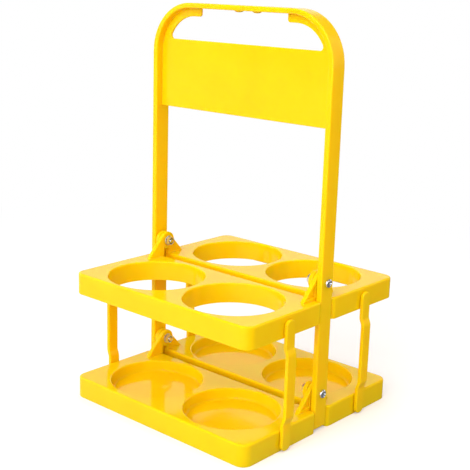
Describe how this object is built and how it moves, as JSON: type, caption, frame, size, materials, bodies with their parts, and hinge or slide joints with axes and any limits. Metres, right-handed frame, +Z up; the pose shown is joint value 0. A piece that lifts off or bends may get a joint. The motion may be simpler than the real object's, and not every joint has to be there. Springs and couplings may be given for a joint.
{
  "type": "drink carrier",
  "caption": "Folding drink carrier of moulded plastic: a carrying frame with a bare sign panel between two tiers of cup trays that fold up.",
  "frame": {"origin": "on the floor, under the middle of the opened carrier", "axes": "+Z up to the grip, +X across the carrying frame from leg to leg, +Y from the front trays to the rear trays"},
  "size_m": [0.2148, 0.2, 0.3492],
  "materials": {
    "frame_plastic": "glossy yellow injection-moulded plastic",
    "tray_plastic": "glossy yellow injection-moulded plastic",
    "link_plastic": "glossy yellow injection-moulded plastic",
    "bolt_steel": "bright zinc-plated steel",
    "washer_steel": "zinc-plated steel",
    "nut_steel": "zinc-plated steel"
  },
  "bodies": {
    "carrying_frame": {"handle_frame": "frame_plastic", "upper_right_bolt": "bolt_steel", "upper_left_bolt": "bolt_steel", "lower_right_bolt": "bolt_steel", "lower_left_bolt": "bolt_steel", "upper_right_washer": "washer_steel", "upper_left_washer": "washer_steel", "lower_right_washer": "washer_steel", "lower_left_washer": "washer_steel", "upper_right_nut": "nut_steel", "upper_left_nut": "nut_steel", "lower_right_nut": "nut_steel", "lower_left_nut": "nut_steel"},
    "front_upper_half": {"front_upper_tray": "tray_plastic"},
    "front_lower_half": {"front_lower_tray": "tray_plastic"},
    "rear_upper_half": {"rear_upper_tray": "tray_plastic"},
    "rear_lower_half": {"rear_lower_tray": "tray_plastic"},
    "front_right_strap": {"front_right_link": "link_plastic"},
    "front_left_strap": {"front_left_link": "link_plastic"},
    "rear_right_strap": {"rear_right_link": "link_plastic"},
    "rear_left_strap": {"rear_left_link": "link_plastic"}
  },
  "joints": [
    {"name": "front_fold", "type": "hinge", "parent": "carrying_frame", "child": "front_upper_half", "pos_m": [0, 0, 0.1307], "axis": [-1, 0, 0], "range_deg": [0, 90]},
    {"name": "front_lower_fold", "type": "hinge", "parent": "carrying_frame", "child": "front_lower_half", "pos_m": [0, 0, 0.0332], "axis": [-1, 0, 0], "range_deg": [0, 90]},
    {"name": "front_right_link_hinge", "type": "hinge", "parent": "front_upper_half", "child": "front_right_strap", "pos_m": [0.1, -0.052, 0.1055], "axis": [1, 0, 0], "range_deg": [0, 90]},
    {"name": "front_left_link_hinge", "type": "hinge", "parent": "front_upper_half", "child": "front_left_strap", "pos_m": [-0.1, -0.052, 0.1055], "axis": [1, 0, 0], "range_deg": [0, 90]},
    {"name": "rear_fold", "type": "hinge", "parent": "carrying_frame", "child": "rear_upper_half", "pos_m": [0, 0, 0.1307], "axis": [1, 0, 0], "range_deg": [0, 90]},
    {"name": "rear_lower_fold", "type": "hinge", "parent": "carrying_frame", "child": "rear_lower_half", "pos_m": [0, 0, 0.0332], "axis": [1, 0, 0], "range_deg": [0, 90]},
    {"name": "rear_right_link_hinge", "type": "hinge", "parent": "rear_upper_half", "child": "rear_right_strap", "pos_m": [0.1, 0.052, 0.1055], "axis": [-1, 0, 0], "range_deg": [0, 90]},
    {"name": "rear_left_link_hinge", "type": "hinge", "parent": "rear_upper_half", "child": "rear_left_strap", "pos_m": [-0.1, 0.052, 0.1055], "axis": [-1, 0, 0], "range_deg": [0, 90]}
  ],
  "couplings": [
    {"joint": "front_lower_fold", "follows": "front_fold", "ratio": 1},
    {"joint": "front_right_link_hinge", "follows": "front_fold", "ratio": 1},
    {"joint": "front_left_link_hinge", "follows": "front_fold", "ratio": 1},
    {"joint": "rear_lower_fold", "follows": "rear_fold", "ratio": 1},
    {"joint": "rear_right_link_hinge", "follows": "rear_fold", "ratio": 1},
    {"joint": "rear_left_link_hinge", "follows": "rear_fold", "ratio": 1}
  ]
}
